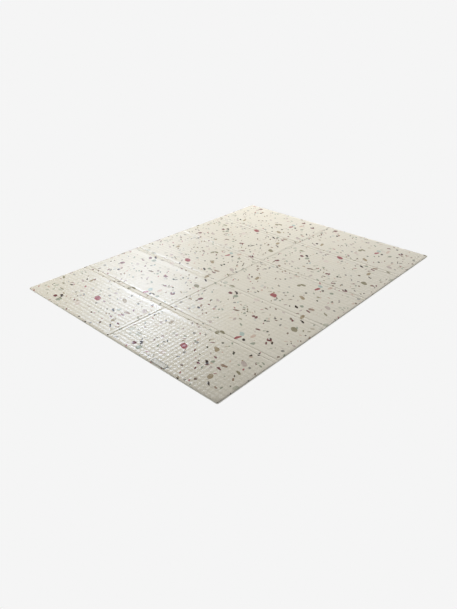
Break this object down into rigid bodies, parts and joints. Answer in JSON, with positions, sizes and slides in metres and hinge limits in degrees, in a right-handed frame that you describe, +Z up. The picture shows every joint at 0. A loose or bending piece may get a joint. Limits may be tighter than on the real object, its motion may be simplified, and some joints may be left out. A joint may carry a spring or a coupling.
{
  "type": "folding foam play mat",
  "caption": "Flat rectangular foam play mat lying open, with film facing, pressed fold spines across it, one crease along its middle and a blank edge label.",
  "frame": {"origin": "on the floor, under the middle of the mat", "axes": "+X along the mat's length, towards the short edge with no label; +Y across its width; +Z up from the printed face"},
  "size_m": [2, 1.5, 0.0107],
  "materials": {
    "film": "cream embossed film on closed-cell foam, satin, with a printed terrazzo pattern",
    "label": "thin blank film label with a fine outline"
  },
  "bodies": {
    "root": {"mat": "film", "edge_label": "label"}
  },
  "joints": []
}
